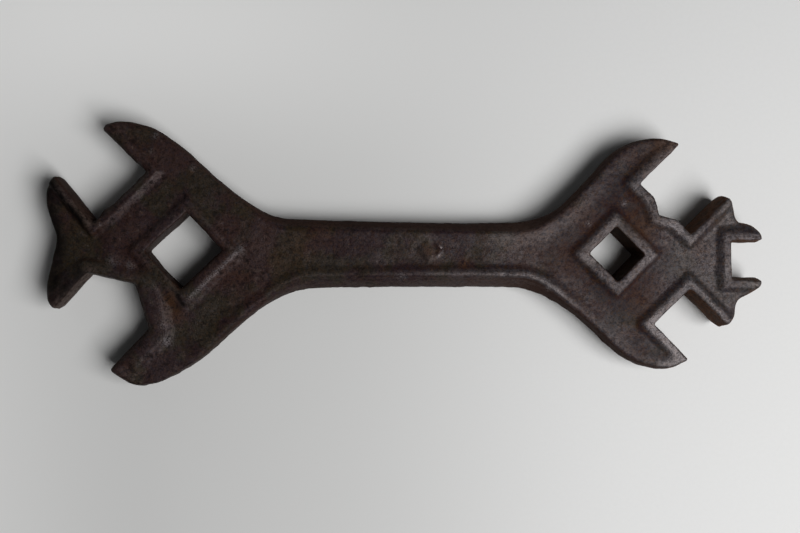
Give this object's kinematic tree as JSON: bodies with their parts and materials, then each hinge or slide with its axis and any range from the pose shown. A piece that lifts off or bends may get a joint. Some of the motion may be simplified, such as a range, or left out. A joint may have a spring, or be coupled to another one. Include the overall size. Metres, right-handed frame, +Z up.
{
  "type": "fire hydrant wrench",
  "caption": "Flat cast wrench with a jawed head at each end of a short ribbed handle: square, hexagonal and wide jaws, a notched tail and square sockets.",
  "frame": {"origin": "middle of the wrench's length and width, in the plane that the lower ribs rest on", "axes": "+X towards the small head, +Y towards the square jaw and the wide jaw, +Z up through the thickness"},
  "size_m": [0.2563, 0.0952, 0.015],
  "materials": {
    "cast_iron": "dark brown oxide with worn grey ribs"
  },
  "bodies": {
    "root": {"wrench_casting": "cast_iron"}
  },
  "joints": []
}
